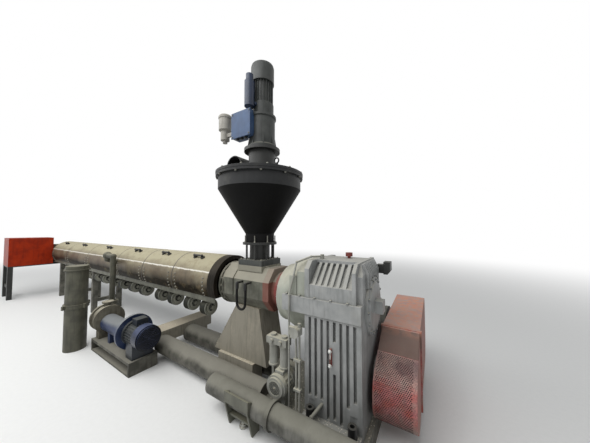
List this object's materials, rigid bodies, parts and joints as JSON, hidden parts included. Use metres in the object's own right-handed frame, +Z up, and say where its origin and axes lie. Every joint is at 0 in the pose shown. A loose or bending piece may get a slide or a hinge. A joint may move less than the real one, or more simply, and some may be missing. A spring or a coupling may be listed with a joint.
{
  "type": "plastic extruder",
  "caption": "Long single screw plastic extruder with finned gearbox, belt guard, black crammer hopper, covered barrel with blowers, vacuum unit and die head.",
  "frame": {"origin": "on the floor under the middle of the gearbox plinth, below the screw axis", "axes": "+X along the screw from the die head towards the gearbox and belt guard, +Y away from the side the picture was taken from, +Z up"},
  "size_m": [8.821, 2.1982, 3.442],
  "materials": {
    "tube_steel": "dusty grey paint",
    "beam_steel": "dusty beige paint",
    "gearbox_paint": "grey painted casting",
    "housing_green_grey": "greenish grey painted casting",
    "dark_steel": "black paint",
    "hopper_black": "matte black paint",
    "drum_grey": "dark grey paint",
    "guard_red": "faded orange red paint",
    "cover_red": "dull red paint",
    "head_red": "orange red paint",
    "blue_paint": "blue paint",
    "navy_paint": "dark blue paint, dusty",
    "barrel_sheet": "dusty stainless sheet",
    "pump_cast": "dusty casting",
    "hose_rubber": "black hose",
    "bolt_black": "black caps",
    "oil_unit_grey": "light grey paint"
  },
  "bodies": {
    "root": {"base_tubes": "tube_steel", "barrel_handles": "bolt_black", "base_tube_near": "tube_steel", "cross_beam": "beam_steel", "gearbox_plinth": "tube_steel", "foot_brackets": "tube_steel", "levelling_screws": "tube_steel", "gearbox_foot": "gearbox_paint", "gearbox_foot_bolts": "bolt_black", "gearbox_lower_housing": "gearbox_paint", "gearbox_split_flange": "gearbox_paint", "gearbox_upper_housing": "gearbox_paint", "gearbox_thrust_housing": "housing_green_grey", "thrust_housing_shell": "housing_green_grey", "gearbox_rear_cover": "gearbox_paint", "rear_top_box": "dark_steel", "input_bearing_cover": "gearbox_paint", "oil_level_gauge": "cover_red", "breather_cap": "cover_red", "oil_pump_motor": "oil_unit_grey", "oil_pump": "oil_unit_grey", "oil_filters": "oil_unit_grey", "oil_pipe": "tube_steel", "oil_distributor": "oil_unit_grey", "hose_fittings": "tube_steel", "drain_valve": "oil_unit_grey", "belt_guard_front": "guard_red", "belt_guard_rear": "guard_red", "drive_motor": "drum_grey", "motor_stand": "tube_steel", "feed_throat": "pump_cast", "coupling_cover": "cover_red", "throat_water_hose": "hose_rubber", "throat_pedestal": "beam_steel", "hopper_square_flange": "drum_grey", "hopper_spool": "dark_steel", "hopper_cone": "hopper_black", "hopper_drum": "drum_grey", "hopper_lid": "drum_grey", "crammer_gear_drum": "dark_steel", "crammer_reducer": "drum_grey", "crammer_motor": "drum_grey", "crammer_terminal_box": "blue_paint", "crammer_filter": "pump_cast", "crammer_brake": "blue_paint", "barrel_covers": "barrel_sheet", "barrel": "pump_cast", "barrel_start_ring": "dark_steel", "barrel_trough": "tube_steel", "blowers": "pump_cast", "barrel_legs": "tube_steel", "die_head": "pump_cast", "head_guard": "head_red", "head_table": "dark_steel", "vacuum_tank": "pump_cast", "vent_pipe": "pump_cast", "vacuum_pump": "pump_cast", "pump_motor": "navy_paint", "pump_fan_cover": "navy_paint", "pump_base": "tube_steel"}
  },
  "joints": []
}
